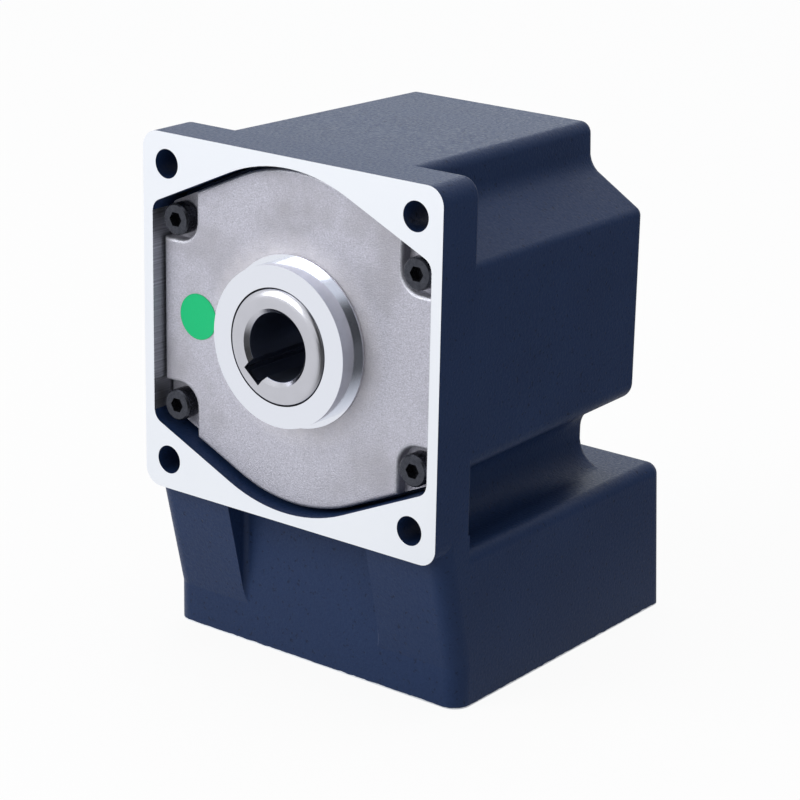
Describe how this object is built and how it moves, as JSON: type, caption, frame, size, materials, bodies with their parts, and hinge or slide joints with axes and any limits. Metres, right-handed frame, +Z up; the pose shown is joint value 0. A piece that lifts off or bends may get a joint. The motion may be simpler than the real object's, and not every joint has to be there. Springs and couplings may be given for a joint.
{
  "type": "right angle hollow shaft gearhead",
  "caption": "Right angle gearhead for a gear motor: a hollow keyed output shaft in a square mounting flange, over a base block whose underside takes the motor.",
  "frame": {"origin": "centre of the output bore at the mounting flange's front face", "axes": "-Y out of the flange along the output shaft, +Z up, away from the motor face, +X to the right seen from the front"},
  "size_m": [0.08, 0.0932, 0.1155],
  "materials": {
    "case_paint": "satin",
    "cover_cast": "cast",
    "gasket": "matte",
    "black_screw": "satin",
    "bright_pin": "satin",
    "green_sticker": "matte",
    "shaft_steel": "polished",
    "gear_steel": "ground",
    "turned_steel": "turned",
    "spring_steel": "satin",
    "bare_aluminium": "machined",
    "race_steel": "polished",
    "cage_brass": "satin",
    "ball_steel": "polished",
    "seal_metal": "satin",
    "seal_rubber": "matte",
    "shield_steel": "satin"
  },
  "bodies": {
    "housing": {"gear_case": "case_paint", "front_cover": "cover_cast", "cover_gasket": "gasket", "cover_screws": "black_screw", "cover_dowels": "bright_pin", "check_sticker": "green_sticker", "bearing_plate": "bare_aluminium", "plate_screws": "black_screw", "plate_dowels": "bright_pin", "front_bearing_outer": "race_steel", "rear_bearing_outer": "race_steel", "front_seal_case": "seal_metal", "front_seal_lip": "seal_rubber", "front_seal_spring": "spring_steel", "rear_seal_case": "seal_metal", "rear_seal_lip": "seal_rubber", "rear_seal_spring": "spring_steel", "pinion_upper_bearing_outer": "race_steel", "pinion_upper_bearing_shields": "shield_steel", "pinion_lower_bearing_outer": "race_steel", "pinion_lower_bearing_shields": "shield_steel", "counter_upper_bearing_outer": "race_steel", "counter_upper_bearing_shields": "shield_steel", "counter_lower_bearing_outer": "race_steel", "counter_lower_bearing_shields": "shield_steel"},
    "output": {"output_shaft": "shaft_steel", "bevel_wheel": "gear_steel", "wheel_key": "bright_pin", "wheel_spacer": "turned_steel", "front_bearing_inner": "race_steel", "rear_bearing_inner": "race_steel"},
    "pinion": {"pinion_shaft": "gear_steel", "final_gear": "gear_steel", "final_gear_key": "bright_pin", "pinion_circlip": "spring_steel", "pinion_upper_bearing_inner": "race_steel", "pinion_lower_bearing_inner": "race_steel"},
    "counter": {"countershaft": "gear_steel", "counter_gear": "gear_steel", "counter_gear_key": "bright_pin", "counter_spacer": "turned_steel", "counter_circlip": "spring_steel", "counter_upper_bearing_inner": "race_steel", "counter_lower_bearing_inner": "race_steel"},
    "front_balls": {"front_bearing_cage": "cage_brass", "front_bearing_balls": "ball_steel"},
    "rear_balls": {"rear_bearing_cage": "cage_brass", "rear_bearing_balls": "ball_steel"}
  },
  "joints": [
    {"name": "output_spin", "type": "hinge", "parent": "housing", "child": "output", "pos_m": [0, 0, 0], "axis": [0, 1, 0], "continuous": true},
    {"name": "pinion_spin", "type": "hinge", "parent": "housing", "child": "pinion", "pos_m": [0, 0.043, 0], "axis": [0, 0, 1], "continuous": true},
    {"name": "counter_spin", "type": "hinge", "parent": "housing", "child": "counter", "pos_m": [-0.01781, 0.05413, 0], "axis": [0, 0, 1], "continuous": true},
    {"name": "front_balls_roll", "type": "hinge", "parent": "housing", "child": "front_balls", "pos_m": [0, 0.013, 0], "axis": [0, 1, 0], "continuous": true},
    {"name": "rear_balls_roll", "type": "hinge", "parent": "housing", "child": "rear_balls", "pos_m": [0, 0.063, 0], "axis": [0, 1, 0], "continuous": true}
  ],
  "couplings": [
    {"joint": "pinion_spin", "follows": "output_spin", "ratio": -2},
    {"joint": "counter_spin", "follows": "output_spin", "ratio": 5},
    {"joint": "front_balls_roll", "follows": "output_spin", "ratio": 0.4254},
    {"joint": "rear_balls_roll", "follows": "output_spin", "ratio": 0.4355}
  ]
}
